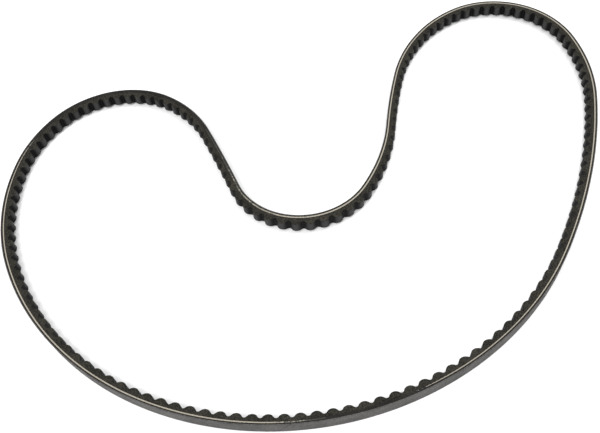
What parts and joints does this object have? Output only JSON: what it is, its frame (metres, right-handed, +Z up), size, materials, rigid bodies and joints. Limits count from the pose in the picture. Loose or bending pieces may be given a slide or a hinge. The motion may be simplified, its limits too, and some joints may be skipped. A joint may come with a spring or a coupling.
{
  "type": "v belt",
  "caption": "Raw-edge moulded-cog V-belt, an endless loop with a fabric back, wound tensile cords and rounded cogs inside, lying on its side in a loose heart shape.",
  "frame": {"origin": "on the surface that the belt lies on, below the middle of the loop's outline", "axes": "+Z up, square to the belt's mid-plane; +X along the loop's longer extent, with the tight lobe on the +X side; +Y towards the two lobes"},
  "size_m": [0.5022, 0.3772, 0.013],
  "materials": {
    "back_fabric": "rubberised bias-woven fabric, dull mid grey",
    "inner_fabric": "rubberised fabric, cut edge only",
    "cord": "twisted polyester cord, dull cream where it is cut",
    "cushion_rubber": "matt black, ground flank",
    "base_rubber": "matt dark olive black with short fibres, ground flank",
    "facing_fabric": "thin rubber-coated knit moulded over the cogs, slight sheen"
  },
  "bodies": {
    "root": {"back_fabric_outer_ply": "back_fabric", "back_fabric_inner_ply": "inner_fabric", "tensile_cord_s": "cord", "tensile_cord_z": "cord", "cord_cushion_rubber": "cushion_rubber", "cogged_base_rubber": "base_rubber", "cog_facing_fabric": "facing_fabric"}
  },
  "joints": []
}
